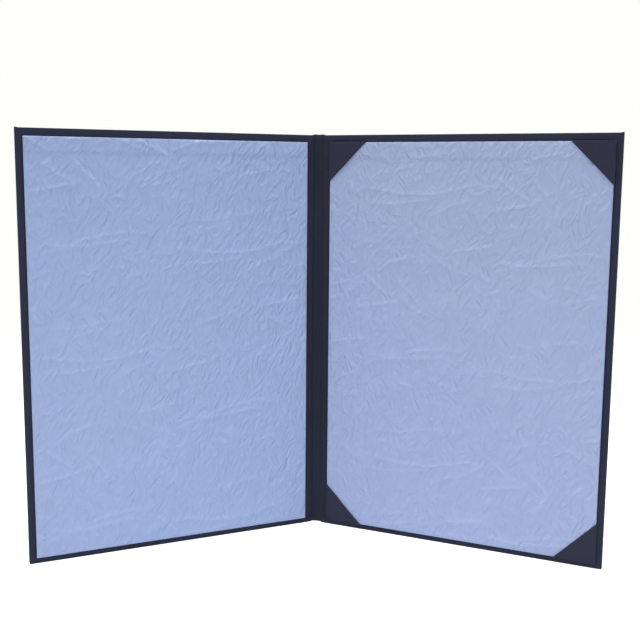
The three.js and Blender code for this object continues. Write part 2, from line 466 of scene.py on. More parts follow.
@dataclass
class CoverPlace:
    """Where one cover stands, and its sizes, all read from the solids.

    A cover's own frame has its origin on the hinge line at the foot: x runs from the hinge line to
    the fore edge, y from the inner side to the outer side, and z up.
    """

    side: Side
    hinge: Vector
    neighbour_hinge: Vector
    turn: float = field(init=False)
    fold: float = field(init=False)

    def __post_init__(self) -> None:
        """Works out how the cover is turned and how its joint is bent at rest."""
        self.turn = -self.side.value * COVER_TURN
        self.fold = COVER_TURN - self.side.value * SPINE_TURN
        cloth_low, cloth_high = self.local_box(f"{self.side.word}_cover_cloth")
        board_low, _ = self.local_box(f"{self.side.word}_board")
        paper_low, paper_high = self.local_box(f"{self.side.word}_lining_paper")
        self.cover_end = cloth_high.x
        self.outer_face = cloth_high.y
        self.covered_face = cloth_low.y
        self.height = cloth_high.z
        self.board_start = board_low.x
        self.lining_start, self.lining_end = paper_low.x, paper_high.x
        self.lining_bottom, self.lining_top = paper_low.z, paper_high.z
        self.lining_back = paper_high.y
        self.lining_face = paper_low.y + CREASE_HEIGHT
        self.spine_middle = -(self.hinge - self.neighbour_hinge).length / 2
        self.spine_inner = -self.outer_face
        self.spine_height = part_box("spine_cloth")[1].z

    @property
    def matrix(self) -> Matrix:
        """From the cover's own frame to the row frame."""
        mirror = Matrix.Diagonal((self.side.value, 1, 1, 1))
        turned = Matrix.Rotation(self.turn, 4, "Z")
        return Matrix.Translation((self.hinge.x, self.hinge.y, 0)) @ turned @ mirror

    def local_box(self, node: str) -> tuple[Vector, Vector]:
        """Lowest and highest corner of a solid in the cover's own frame.

        Args:
            node: the solid's name.

        Returns:
            The two corners.
        """
        back = self.matrix.inverted()
        points = np.array([back @ v.co for v in frame["nodes"][node].data.vertices])
        return Vector(points.min(0)), Vector(points.max(0))

    def bend(self, bm: bmesh.types.BMesh) -> None:
        """Bends what lies past the hinge line, in a flat mesh, to the joint's rest angle."""
        for vert in bm.verts:
            angle = self.fold * smooth_step(vert.co.x, BEND_START, BEND_END)
            vert.co = Matrix.Rotation(angle, 3, "Z") @ vert.co

    def to_row(self, along: float, angle: float = 0.0) -> Vector:
        """A point on the hinge level, turned about the hinge line, in the row frame."""
        return self.matrix @ (Matrix.Rotation(angle, 4, "Z") @ Vector((along, 0, 0)))


# Mesh helpers


def box_between(low: Vector, high: Vector) -> bmesh.types.BMesh:
    """A new mesh that holds one box."""
    bm = bmesh.new()
    bmesh.ops.create_cube(bm, size=1.0)
    bmesh.ops.scale(bm, vec=high - low, verts=bm.verts)
    bmesh.ops.translate(bm, vec=(high + low) / 2, verts=bm.verts)
    return bm


def cut(bm: bmesh.types.BMesh, axis: int, places: Iterable[float]) -> None:
    """Cuts edge loops into a mesh across one axis.

    Args:
        bm: the mesh.
        axis: 0, 1 or 2.
        places: where along that axis.
    """
    normal = Vector((0, 0, 0))
    normal[axis] = 1
    for place in places:
        bmesh.ops.bisect_plane(
            bm, geom=bm.verts[:] + bm.edges[:] + bm.faces[:], dist=1e-7,
            plane_co=normal * place, plane_no=normal, clear_inner=False, clear_outer=False,
        )


def of_kind(geometry: list, kind: type) -> list:
    """The parts of an operator's result that are of one kind."""
    return [part for part in geometry if isinstance(part, kind)]


def face_inwards(bm: bmesh.types.BMesh) -> None:
    """Turns a sheet's faces to the open side of the cover."""
    bm.normal_update()
    if sum(face.normal.y * face.calc_area() for face in bm.faces) > 0:
        bmesh.ops.reverse_faces(bm, faces=bm.faces)


def map_cloth(bm: bmesh.types.BMesh) -> None:
    """Lays the cloth's threads over a mesh: each face is mapped flat, in metres, along its own plane."""
    layer = bm.loops.layers.uv.get("cloth") or bm.loops.layers.uv.new("cloth")
    bm.normal_update()
    for face in bm.faces:
        sizes = [abs(c) for c in face.normal]
        facing = sizes.index(max(sizes))
        across, up = {0: (1, 2), 1: (0, 2), 2: (0, 1)}[facing]
        for loop in face.loops:
            loop[layer].uv = (loop.vert.co[across], loop.vert.co[up])


def spread(start: float, end: float, count: int) -> list[float]:
    """Evenly spaced places from start to end, both included."""
    return [start + (end - start) * i / (count - 1) for i in range(count)]


def finished(name: str, bm: bmesh.types.BMesh, place: CoverPlace, finish: Finish) -> bpy.types.Object:
    """Turns a mesh in a cover's own frame into an object at the origin of the row frame.

    Args:
        name: the piece's name.
        bm: its mesh, which is freed.
        place: the cover that it belongs to.
        finish: its finish.

    Returns:
        The new object.
    """
    bmesh.ops.transform(bm, matrix=place.matrix, verts=bm.verts)
    if place.side is Side.FRONT:
        bmesh.ops.reverse_faces(bm, faces=bm.faces)
    for face in bm.faces:
        face.smooth = True
    mesh = bpy.data.meshes.new(name)
    bm.to_mesh(mesh)
    bm.free()
    mesh.materials.append(finish.material())
    made = bpy.data.objects.new(name, mesh)
    bpy.context.scene.collection.objects.link(made)
    return made


def thicken(piece: bpy.types.Object, thickness: float) -> None:
    """Gives a sheet its thickness, inwards from the modelled face."""
    wall = piece.modifiers.new("cloth_thickness", "SOLIDIFY")
    wall.thickness = thickness
    wall.offset = -1
    wall.use_even_offset = True


# Pieces


@dataclass
class CoverCloth:
    """The outer cloth of one cover, with its half of the spine and its turn-ins."""

    place: CoverPlace
    edge_round: float = 0.85 * MM
    sharp: float = math.radians(50)
    support: float = 1.9 * MM
    joint_cuts: int = 16
    ridge_from_middle: float = 2.7 * MM
    ridge_width: float = 1.1 * MM
    ridge_rise: float = 0.25 * MM
    head_lift: float = 0.2 * MM
    slope_end: float = 3.4 * MM
    corner_bump: float = 0.5 * MM
    corner_top: float = 1.0 * MM
    corner_reach: float = 2.4 * MM

    def build(self) -> bpy.types.Object:
        """Models the cloth and puts it in the scene.

        Returns:
            The cloth's object.
        """
        place = self.place
        bm = box_between(
            Vector((place.spine_middle, place.covered_face, 0)),
            Vector((place.cover_end, place.outer_face, place.height)),
        )
        cut(bm, 0, spread(place.spine_middle + 0.35 * MM, 2 * MM, self.joint_cuts))
        cut(bm, 0, [place.cover_end - TURN_IN, place.cover_end - 2 * self.corner_reach])
        cut(bm, 0, spread(place.cover_end - self.corner_reach, place.cover_end - self.support, 4))
        for end, inwards in ((0.0, 1), (place.height, -1)):
            cut(bm, 2, [end + inwards * d for d in (self.support, self.corner_reach, TURN_IN)])
        self.open_inside(bm)
        self.thin_the_spine(bm)
        self.raise_corners(bm)
        self.round_edges(bm)
        map_cloth(bm)
        place.bend(bm)
        piece = finished(f"{place.side.word}_cloth", bm, place, NAVY_CLOTH)
        thicken(piece, CLOTH_THICKNESS)
        return piece

    def open_inside(self, bm: bmesh.types.BMesh) -> None:
        """Takes away the end at the spine's middle and all between the turn-ins."""
        place = self.place
        gone = []
        for face in bm.faces:
            middle = face.calc_center_median()
            at_middle = abs(middle.x - place.spine_middle) < SAME
            inner = abs(middle.y - place.covered_face) < SAME
            between = TURN_IN < middle.z < place.height - TURN_IN
            if at_middle or (inner and between and middle.x < place.cover_end - TURN_IN):
                gone.append(face)
        bmesh.ops.delete(bm, geom=gone, context="FACES")

    def thin_the_spine(self, bm: bmesh.types.BMesh) -> None:
        """Brings the turn-ins down to the soft spine and raises its head a little."""
        place = self.place
        rise = place.spine_height - place.height + self.head_lift - self.ridge_rise
        ridge = place.spine_middle + self.ridge_from_middle
        for vert in bm.verts:
            past_board = vert.co.x - place.board_start
            if abs(vert.co.z - place.height) < SAME:
                at_spine = smooth_step(past_board, 0.4 * MM, -1.0 * MM)
                near_ridge = math.exp(-((vert.co.x - ridge) / self.ridge_width) ** 2)
                vert.co.z += rise * at_spine + self.ridge_rise * near_ridge * at_spine
            if abs(vert.co.y - place.covered_face) < SAME:
                down = smooth_step(past_board, 0.5 * MM, -self.slope_end)
                vert.co.y += (place.spine_inner - place.covered_face) * down

    def raise_corners(self, bm: bmesh.types.BMesh) -> None:
        """The folded cloth stands up a little at the two fore corners."""
        place = self.place
        for vert in bm.verts:
            if abs(vert.co.z - place.height) < SAME:
                from_end = place.cover_end - vert.co.x
                vert.co.z += self.corner_bump * smooth_step(from_end, self.corner_reach, self.corner_top)

    def round_edges(self, bm: bmesh.types.BMesh) -> None:
        """Rounds the cloth over the board's edges."""
        bm.normal_update()
        sharp = [
            edge for edge in bm.edges
            if len(edge.link_faces) == 2 and edge.calc_face_angle(0) > self.sharp
        ]
        bmesh.ops.bevel(
            bm, geom=sharp, offset=self.edge_round, offset_type="OFFSET", segments=3,
            profile=0.5, affect="EDGES", material=-1, clamp_overlap=True,
        )


@dataclass
class JointStrip:
    """One half of the strip of cloth down the inside, from under a lining to the spine's middle."""

    place: CoverPlace
    reach: float = 20 * MM
    thickness: float = 0.2 * MM
    lift: float = 0.24 * MM
    end_margin: float = 3.2 * MM
    slope_end: float = 3.6 * MM
    lip: float = 0.6 * MM
    slope_steps: int = 11
    rows: int = 24

    def profile(self) -> Chain:
        """The strip's course across the joint, as distance along and level."""
        place = self.place
        high = place.covered_face - self.lift
        low = place.spine_inner - self.lift
        foot = place.board_start - self.slope_end
        lip = place.board_start + self.lip
        course = [(place.board_start + self.reach, high), (place.lining_start, high), (lip + 2 * MM, high)]
        for along in spread(lip, foot, self.slope_steps):
            course.append((along, high + (low - high) * smooth_step(along, lip, foot)))
        course += [(along, low) for along in spread(foot - 0.3 * MM, place.spine_middle, 4)]
        return course

    def build(self) -> bpy.types.Object:
        """Models the strip and puts it in the scene.

        Returns:
            The strip's object.
        """
        place = self.place
        bm = bmesh.new()
        verts = [bm.verts.new((x, y, self.end_margin)) for x, y in self.profile()]
        edges = [bm.edges.new(pair) for pair in zip(verts, verts[1:])]
        step = (place.height - 2 * self.end_margin) / self.rows
        for _ in range(self.rows):
            grown = bmesh.ops.extrude_edge_only(bm, edges=edges)["geom"]
            bmesh.ops.translate(bm, vec=(0, 0, step), verts=of_kind(grown, bmesh.types.BMVert))
            edges = of_kind(grown, bmesh.types.BMEdge)
        cut(bm, 2, [self.end_margin + self.thickness, place.height - self.end_margin - self.thickness])
        bmesh.ops.recalc_face_normals(bm, faces=bm.faces)
        face_inwards(bm)
        map_cloth(bm)
        place.bend(bm)
        # The strip is painted darker than the cover cloth, as painted shade in the spine's groove.
        piece = finished(f"{place.side.word}_joint_cloth", bm, place, SHADED_STRIP_CLOTH)
        thicken(piece, self.thickness)
        return piece


@dataclass(frozen=True)
class CreasePattern:
    """The crumpled paper's repeating relief, in millimetres right and down over one repeat."""

    width: float = 100.0
    height: float = 207.0
    drop: float = -75.0
    step: float = 0.5
    seed: int = 11
    main_gain: float = 1.9
    main_spread: float = 0.8
    small_count: int = 1700
    small_legs: int = 4
    flat_share: float = 0.28
    raised_share: float = 0.55

    # The main creases, chosen one by one: points and strength
    main: tuple = (
        (((30, 34), (45, 36), (60, 38), (85, 38), (100, 35), (115, 31), (127, 32)), 1.0),
        (((32, 45), (50, 46), (68, 44), (84, 41)), 0.9),
        (((110, 33), (113, 38), (120, 37), (128, 31)), 0.7),
        (((82, 58), (88, 51), (98, 46), (112, 42), (119, 37)), 0.7),
        (((100, 55), (90, 62), (83, 70), (90, 77), (97, 81)), 0.6),
        (((126, 50), (143, 47), (160, 44)), 1.3),
        (((98, 80), (115, 77), (131, 75)), 1.4),
        (((131, 25), (138, 31), (147, 38), (154, 41)), 0.8),
        (((153, 22), (161, 32), (171, 41), (176, 48), (172, 57), (165, 62)), 0.9),
        (((158, 40), (165, 45), (170, 50)), 0.6),
        (((128, 91), (137, 86), (146, 88), (161, 88), (180, 86), (192, 84), (203, 88)), 1.0),
        (((151, 88), (165, 83), (180, 80), (197, 78), (211, 81)), 0.9),
        (((128, 95), (140, 91), (155, 88)), 0.7),
        (((82, 80), (90, 88), (98, 92), (112, 97)), 0.5),
        (((102, 88), (115, 94), (127, 100)), 0.6),
        (((112, 88), (120, 95), (128, 100)), 0.5),
        (((40, 97), (50, 90), (64, 86), (80, 83)), 0.7),
        (((125, 101), (111, 106), (96, 118), (87, 131)), 0.6),
        (((122, 102), (112, 114), (104, 126)), 0.5),
        (((128, 101), (118, 112), (112, 128), (118, 140)), 0.4),
        (((118, 120), (125, 132), (132, 142)), 0.4),
        (((78, 177), (90, 179), (105, 183)), 0.4),
        (((60, 182), (72, 185)), 0.5),
        (((80, 188), (95, 185), (110, 183)), 0.6),
        (((41, 221), (60, 221), (79, 217), (99, 215)), 0.6),
        (((38, 228), (50, 230), (60, 226), (75, 222)), 0.4),
        (((112, 160), (122, 168), (130, 174)), 0.6),
        (((42, 90), (50, 78), (58, 66)), 0.5),
        (((62, 80), (72, 64)), 0.4),
        (((22, 215), (30, 203), (38, 190)), 0.5),
        (((108, 200), (104, 215), (102, 228)), 0.4),
    )

    def cell(self) -> np.ndarray:
        """The relief of one repeat, from 0 to about 1, on a grid of the pattern's step."""
        rows, columns = round(self.height / self.step), round(self.width / self.step)
        relief = np.zeros((rows, columns))
        rng = np.random.default_rng(self.seed)
        for points, strength in self.main:
            self.draw(relief, np.array(points, float), strength * self.main_gain, self.main_spread)
        for points, strength, spread_mm in self.small(rng):
            self.draw(relief, points, strength, spread_mm)
        return relief

    def small(self, rng: np.random.Generator) -> Iterable[tuple[np.ndarray, float, float]]:
        """The small creases between the main ones: flat ones, and steep ones in fans.

        Args:
            rng: where the chances come from.

        Yields:
            Points, strength and how wide the crease is.
        """
        for _ in range(self.small_count):
            start = np.array([rng.uniform(0, self.width), rng.uniform(0, self.height)])
            flat = rng.random() < self.flat_share
            lean = -62 + 26 * self.wave(start, 1, 1, 0.7) + 20 * self.wave(start, 2, -3, 2.1)
            angle = math.radians(rng.normal(-5, 14) if flat else rng.normal(lean, 9))
            length = rng.uniform(5, 18) if flat else rng.uniform(3.5, 10)
            curl = math.radians(rng.normal(0, 30))
            points = [start]
            for part in range(self.small_legs):
                heading = angle + curl * (part / (self.small_legs - 1) - 0.5)
                leg = np.array([math.cos(heading), math.sin(heading)]) * length / self.small_legs
                points.append(points[-1] + leg)
            sign = 1 if rng.random() < self.raised_share else -1
            strength = rng.uniform(0.2, 0.6) * (0.65 + 0.35 * self.wave(start, 1, -4, 0.4))
            yield np.array(points), sign * strength, rng.uniform(0.5, 0.75)

    def wave(self, point: np.ndarray, across: int, down: int, phase: float) -> float:
        """A slow wave that repeats with the pattern.

        Args:
            point: millimetres right and down.
            across: how many crests one step to the next repeat crosses.
            down: how many crests one repeat's height crosses.
            phase: where the wave starts, in radians.

        Returns:
            A number from -1 to 1.
        """
        fall = math.tau * down / self.height
        run = (math.tau * across - self.drop * fall) / self.width
        return math.sin(run * point[0] + fall * point[1] + phase)

    def draw(self, relief: np.ndarray, points: np.ndarray, strength: float, spread_mm: float) -> None:
        """Adds one crease to the relief, with its copies in the neighbouring repeats."""
        reach = spread_mm * 4
        for across in (-2, -1, 0, 1):
            for down in (-2, -1, 0, 1, 2):
                moved = points + np.array([across * self.width, across * self.drop + down * self.height])
                low, high = moved.min(0) - reach, moved.max(0) + reach
                if high[0] < 0 or high[1] < 0 or low[0] > self.width or low[1] > self.height:
                    continue
                self.stamp(relief, moved, strength, spread_mm, low, high)

    def stamp(
        self, relief: np.ndarray, points: np.ndarray, strength: float, spread_mm: float,
        low: np.ndarray, high: np.ndarray,
    ) -> None:
        """Adds one copy of a crease where it crosses the grid."""
        first = np.maximum(np.floor(low / self.step).astype(int), 0)
        last = np.minimum(np.ceil(high / self.step).astype(int), np.array(relief.shape)[::-1] - 1)
        if (last <= first).any():
            return
        xs = np.arange(first[0], last[0] + 1) * self.step
        ys = np.arange(first[1], last[1] + 1) * self.step
        grid = np.stack(np.meshgrid(xs, ys), -1)
        nearest = np.full(grid.shape[:2], np.inf)
        fade = np.zeros(grid.shape[:2])
        count = len(points) - 1
        for i in range(count):
            leg = points[i + 1] - points[i]
            share = np.clip(((grid - points[i]) @ leg) / (leg @ leg), 0, 1)
            away = np.linalg.norm(grid - (points[i] + share[..., None] * leg), axis=-1)
            closer = away < nearest
            nearest = np.where(closer, away, nearest)
            fade = np.where(closer, np.sin(np.pi * np.clip((i + share) / count, 0.04, 0.96)) ** 0.5, fade)
        bump = strength * fade * np.exp(-nearest / spread_mm)
        relief[first[1]:last[1] + 1, first[0]:last[0] + 1] += bump

    def read(self, cell: np.ndarray, right: np.ndarray, down: np.ndarray) -> np.ndarray:
        """Reads the endless pattern at points.

        Args:
            cell: the relief of one repeat.
            right: millimetres to the right.
            down: millimetres down.

        Returns:
            The relief there.
        """
        repeats = np.floor(right / self.width)
        x = (right - repeats * self.width) / self.step
        y = np.mod(down - repeats * self.drop, self.height) / self.step
        x0, y0 = np.floor(x).astype(int), np.floor(y).astype(int)
        fx, fy = x - x0, y - y0
        rows, columns = cell.shape
        y0 %= rows
        y1 = (y0 + 1) % rows
        x1 = np.minimum(x0 + 1, columns - 1)
        x0 = np.minimum(x0, columns - 1)
        top = cell[y0, x0] * (1 - fx) + cell[y0, x1] * fx
        low = cell[y1, x0] * (1 - fx) + cell[y1, x1] * fx
        return top * (1 - fy) + low * fy


@dataclass
class LiningPaper:
    """The crumpled paper of one lining, wrapped round its card."""

    place: CoverPlace
    pattern: CreasePattern
    cell: np.ndarray
    cut_at: tuple[float, float]
    ledge_from_top: float
    grid: float = 0.86 * MM
    relief: float = 0.5 * MM
    valley_share: float = 0.7
    swell_share: float = 0.3
    edge_fade: float = 1.2 * MM
    edge_share: float = 0.15
    edge_round: float = 0.4 * MM
    ledge_drop: float = 0.4 * MM
    ledge_above: float = 0.3
    ledge_width: float = 2.4 * MM
    ledge_recovery: float = 22 * MM
    deepest: float = 0.4 * MM
    tuck_end: tuple[float, float] = (17.5, 11.0)
    tuck_rise: float = 0.5 * MM
    tuck_widths: tuple[float, float] = (1.1, 0.7)
    tuck_calm: float = 0.8
    pocket_share: float = 0.2
    pocket_edge: float = 0.97
    pocket_fade: float = 0.12
    turn_under: float = 4 * MM

    def build(self) -> bpy.types.Object:
        """Models the paper and puts it in the scene.

        Returns:
            The paper's object.
        """
        place = self.place
        width = place.lining_end - place.lining_start - 2 * self.edge_round
        height = place.lining_top - place.lining_bottom - 2 * self.edge_round
        bm = bmesh.new()
        bmesh.ops.create_grid(
            bm, x_segments=round(width / self.grid), y_segments=round(height / self.grid), size=0.5,
        )
        bmesh.ops.scale(bm, vec=(width, height, 1), verts=bm.verts)
        bmesh.ops.rotate(bm, cent=(0, 0, 0), matrix=Matrix.Rotation(math.pi / 2, 3, "X"), verts=bm.verts)
        middle = Vector((
            (place.lining_start + place.lining_end) / 2,
            place.lining_face,
            (place.lining_bottom + place.lining_top) / 2,
        ))
        bmesh.ops.translate(bm, vec=middle, verts=bm.verts)
        crest_highlight = self.crumple(bm)
        self.wrap(bm)
        self.map_paper(bm)
        piece = finished(f"{place.side.word}_paper", bm, place, BLUE_PAPER)
        values = np.zeros(len(piece.data.vertices), np.float32)
        values[: len(crest_highlight)] = crest_highlight
        # The crest share is stored for the painted highlight on the crests.
        layer = piece.data.attributes.new("crest_highlight", "FLOAT", "POINT")
        layer.data.foreach_set("value", values)
        return piece

    def map_paper(self, bm: bmesh.types.BMesh) -> None:
        """Maps the sheet in metres, right and up, from the pattern's own corner."""
        place = self.place
        layer = bm.loops.layers.uv.new("paper")
        for face in bm.faces:
            for loop in face.loops:
                co = loop.vert.co
                right = co.x - place.lining_start if place.side is Side.BACK else place.lining_end - co.x
                loop[layer].uv = (right - self.cut_at[0] * MM, co.z - place.lining_top + self.cut_at[1] * MM)

    def crumple(self, bm: bmesh.types.BMesh) -> np.ndarray:
        """Presses the pattern into the sheet.

        Args:
            bm: the flat sheet.

        Returns:
            How far each point lies on a crest, from 0 to 1, where the paper is painted lighter as a painted
            highlight.
        """
        place = self.place
        points = np.array([vert.co for vert in bm.verts])
        from_left = points[:, 0] - place.lining_start
        if place.side is Side.FRONT:
            from_left = place.lining_end - points[:, 0]
        from_top = place.lining_top - points[:, 2]
        right = from_left / MM - self.cut_at[0]
        down = from_top / MM - self.cut_at[1]
        raised = self.pattern.read(self.cell, right, down)
        across_swell = np.sin(right / 17 + 1.3 * np.sin(down / 29))
        swell = 0.5 * across_swell * np.sin(down / 23 + 0.9 * np.sin(right / 31))
        to_edge = np.minimum.reduce([
            points[:, 0] - place.lining_start, place.lining_end - points[:, 0],
            points[:, 2] - place.lining_bottom, place.lining_top - points[:, 2],
        ]) - self.edge_round
        fade = self.edge_share + (1 - self.edge_share) * np.clip(to_edge / self.edge_fade, 0, 1)
        pressed = np.tanh(raised)
        pressed = np.where(pressed < 0, self.valley_share * pressed, pressed)
        height = (pressed + self.swell_share * swell) * self.relief * fade * self.free_share(points)
        height -= self.ledge(from_top) * fade
        tuck = self.tuck_share(points)
        height += tuck * (self.tuck_rise - self.tuck_calm * height)
        height = np.maximum(height, -self.deepest)
        for vert, rise in zip(bm.verts, height):
            vert.co.y -= float(rise)
        return np.clip(np.tanh(raised), 0, 1) * fade

    def ledge(self, from_top: np.ndarray) -> np.ndarray:
        """How much lower the paper lies below the end of the turned-in cloth; it levels out again."""
        past = from_top - self.ledge_from_top
        over = np.clip(past / self.ledge_width + 0.5, 0, 1)
        back = np.exp(-np.maximum(past, 0) / self.ledge_recovery)
        return self.ledge_drop * (over * over * (3 - 2 * over) * back - self.ledge_above)

    def free_share(self, points: np.ndarray) -> np.ndarray:
        """How free the paper is to stand up: little where a corner pocket lies or shuts against it."""
        place = self.place
        across = np.minimum(points[:, 0] - place.lining_start, place.lining_end - points[:, 0])
        along = np.minimum(points[:, 2] - place.lining_bottom, place.lining_top - points[:, 2])
        past = np.clip(((across + along) / POCKET_LEG - self.pocket_edge) / self.pocket_fade, 0, 1)
        return self.pocket_share + (1 - self.pocket_share) * past

    def tuck_share(self, points: np.ndarray) -> np.ndarray:
        """The slanted tuck of the turned-in cloth that shows through at the head's fore corner."""
        place = self.place
        from_corner = np.stack([place.lining_end - points[:, 0], place.lining_top - points[:, 2]], 1)
        from_corner /= MM
        end = np.array(self.tuck_end)
        share = np.clip(from_corner @ end / (end @ end), 0, 1)
        across = from_corner - share[:, None] * end
        upwards = across @ np.array([end[1], -end[0]])
        width = np.where(upwards > 0, self.tuck_widths[0], self.tuck_widths[1])
        return np.exp(-(np.linalg.norm(across, axis=1) / width) ** 2) * (1 - share ** 3)

    def wrap(self, bm: bmesh.types.BMesh) -> None:
        """Folds the sheet's edges over the card's round edge, down and under it."""
        place = self.place
        bmesh.ops.recalc_face_normals(bm, faces=bm.faces)
        face_inwards(bm)
        edges = [edge for edge in bm.edges if edge.is_boundary]
        radius = self.edge_round
        course = []
        for turn in (math.radians(22), math.radians(45), math.radians(68), math.radians(90)):
            course.append((radius * (1 - math.sin(turn)), place.lining_face + radius * (1 - math.cos(turn))))
        course += [(0.0, place.lining_back), (self.turn_under, place.lining_back)]
        inset_before = radius
        for inset, level in course:
            grown = bmesh.ops.extrude_edge_only(bm, edges=edges)["geom"]
            edges = of_kind(grown, bmesh.types.BMEdge)
            for vert in of_kind(grown, bmesh.types.BMVert):
                self.shift_outwards(vert, inset_before, inset)
                vert.co.y = level
            inset_before = inset

    def shift_outwards(self, vert: bmesh.types.BMVert, before: float, after: float) -> None:
        """Moves a point of the edge from one distance inside the lining's outline to another."""
        place = self.place
        width = (0, place.lining_start, place.lining_end)
        height = (2, place.lining_bottom, place.lining_top)
        for axis, low, high in (width, height):
            if abs(vert.co[axis] - low - before) < SAME:
                vert.co[axis] = low + after
            elif abs(high - vert.co[axis] - before) < SAME:
                vert.co[axis] = high - after


@dataclass
class CornerPocket:
    """A folded cloth corner that holds the sheet."""

    place: CoverPlace
    at_fore_edge: bool
    at_head: bool
    thickness: float = 0.24 * MM
    wall_gap: float = 0.42 * MM
    fold_round: float = 0.4 * MM
    bulge: float = 0.15 * MM
    hem: float = 4.5 * MM
    cuts: int = 15

    @property
    def name(self) -> str:
        """The solid's name."""
        return f"pocket_{'head' if self.at_head else 'tail'}_{'fore' if self.at_fore_edge else 'spine'}"

    def build(self) -> bpy.types.Object:
        """Models the pocket and puts it in the scene.

        Returns:
            The pocket's object.
        """
        place = self.place
        lid = place.local_box(self.name)[0].y
        wall, leg = self.wall_gap, POCKET_LEG + self.wall_gap
        bm = bmesh.new()
        corners = [bm.verts.new(p) for p in ((-wall, lid, -wall), (leg, lid, -wall), (-wall, lid, leg))]
        bm.faces.new(corners)
        bmesh.ops.subdivide_edges(bm, edges=bm.edges[:], cuts=self.cuts, use_grid_fill=True)
        slanted = [e for e in bm.edges if e.is_boundary and all(self.on_slant(v.co) for v in e.verts)]
        legs = [e for e in bm.edges if e.is_boundary and e not in slanted]
        for vert in bm.verts:
            vert.co.y -= self.lift_at(vert.co)
        self.fold_slanted_edge(bm, slanted)
        self.turn_down_legs(bm, legs)
        bmesh.ops.recalc_face_normals(bm, faces=bm.faces)
        face_inwards(bm)
        map_cloth(bm)
        self.to_corner(bm)
        piece = finished(f"{self.name}_cloth", bm, place, POCKET_CLOTH)
        thicken(piece, self.thickness)
        return piece

    def on_slant(self, point: Vector) -> bool:
        """Whether a point lies on the pocket's slanted edge."""
        return abs(point.x + point.z - POCKET_LEG) < 1e-5

    def lift_at(self, point: Vector) -> float:
        """How far the loose cloth stands off the sheet: most at the middle of the slanted edge."""
        towards_edge = min(1.0, max(0.0, (point.x + point.z) / POCKET_LEG))
        along = min(1.0, abs(point.x - point.z) / POCKET_LEG)
        return self.bulge * math.cos(along * math.pi / 2) ** 2 * smooth_step(towards_edge, 0, 1)

    def fold_slanted_edge(self, bm: bmesh.types.BMesh, edges: list[bmesh.types.BMEdge]) -> None:
        """Folds the slanted edge under, as a narrow hem."""
        out = Vector((1, 0, 1)).normalized()
        for move, down in ((0.12 * MM, 0.1 * MM), (0.0, 0.16 * MM), (-0.12 * MM, 0.1 * MM), (-self.hem, 0.0)):
            grown = bmesh.ops.extrude_edge_only(bm, edges=edges)["geom"]
            edges = of_kind(grown, bmesh.types.BMEdge)
            verts = of_kind(grown, bmesh.types.BMVert)
            bmesh.ops.translate(bm, vec=out * move + Vector((0, down, 0)), verts=verts)
            for vert in verts:
                vert.co.x = max(vert.co.x, self.thickness - self.wall_gap)
                vert.co.z = max(vert.co.z, self.thickness - self.wall_gap)

    def turn_down_legs(self, bm: bmesh.types.BMesh, edges: list[bmesh.types.BMEdge]) -> None:
        """Turns the two straight edges down over the lining's edges."""
        grown = bmesh.ops.extrude_edge_only(bm, edges=edges)["geom"]
        for vert in of_kind(grown, bmesh.types.BMVert):
            vert.co.y = self.place.lining_back
        bm.normal_update()
        creased = [
            e for e in bm.edges
            if len(e.link_faces) == 2 and e.calc_face_angle(0) > math.radians(60)
            and all(min(v.co.x, v.co.z) < -self.wall_gap + 1e-5 for v in e.verts)
        ]
        bmesh.ops.bevel(
            bm, geom=creased, offset=self.fold_round, offset_type="OFFSET", segments=3,
            profile=0.5, affect="EDGES", material=-1, clamp_overlap=True,
        )

    def to_corner(self, bm: bmesh.types.BMesh) -> None:
        """Moves the pocket to its corner of the lining, mirrored where the corner needs it."""
        place = self.place
        flip = Vector((-1 if self.at_fore_edge else 1, 1, -1 if self.at_head else 1))
        bmesh.ops.scale(bm, vec=flip, verts=bm.verts)
        corner = Vector((
            place.lining_end if self.at_fore_edge else place.lining_start, 0,
            place.lining_top if self.at_head else place.lining_bottom,
        ))
        bmesh.ops.translate(bm, vec=corner, verts=bm.verts)
        if flip.x * flip.z < 0:
            bmesh.ops.reverse_faces(bm, faces=bm.faces)


@dataclass
class Cover:
    """One cover with everything glued to it."""

    place: CoverPlace
    pattern: CreasePattern
    cell: np.ndarray
    paper_cut: tuple[float, float]
    ledge_from_top: float

    def build(self) -> None:
        """Builds the cover's pieces; only the lining paper is tied to its body."""
        word, body = self.place.side.word, self.place.side.body
        for sheet, nodes in (
            (CoverCloth(self.place), (f"{word}_cover_cloth", "spine_cloth")),
            (JointStrip(self.place), (f"{word}_joint_strip", "spine_joint_strip")),
        ):
            piece = sheet.build()
            start = self.place.to_row(BEND_START)
            end = self.place.to_row(BEND_END, self.place.fold)
            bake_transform(piece)
            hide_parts(*nodes)
            log.info("built %s", piece.name)
        paper = LiningPaper(self.place, self.pattern, self.cell, self.paper_cut, self.ledge_from_top).build()
        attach(paper, body)
        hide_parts(f"{word}_lining_paper")
        log.info("built %s", paper.name)
        dress(f"{word}_board", GREY_BOARD)
        dress(f"{word}_lining_card", WHITE_CARD)

    def add_pockets(self) -> None:
        """Builds the four corner pockets of this cover."""
        for at_head in (True, False):
            for at_fore_edge in (True, False):
                pocket = CornerPocket(self.place, at_fore_edge, at_head)
                piece = pocket.build()
                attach(piece, self.place.side.body)
                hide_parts(pocket.name)
                log.info("built %s", piece.name)


def dress(node: str, finish: Finish) -> None:
    """Gives a solid that stays its finish."""
    solid = frame["nodes"][node]
    solid.data.materials.clear()
    solid.data.materials.append(finish.material())
    log.info("dressed %s", node)


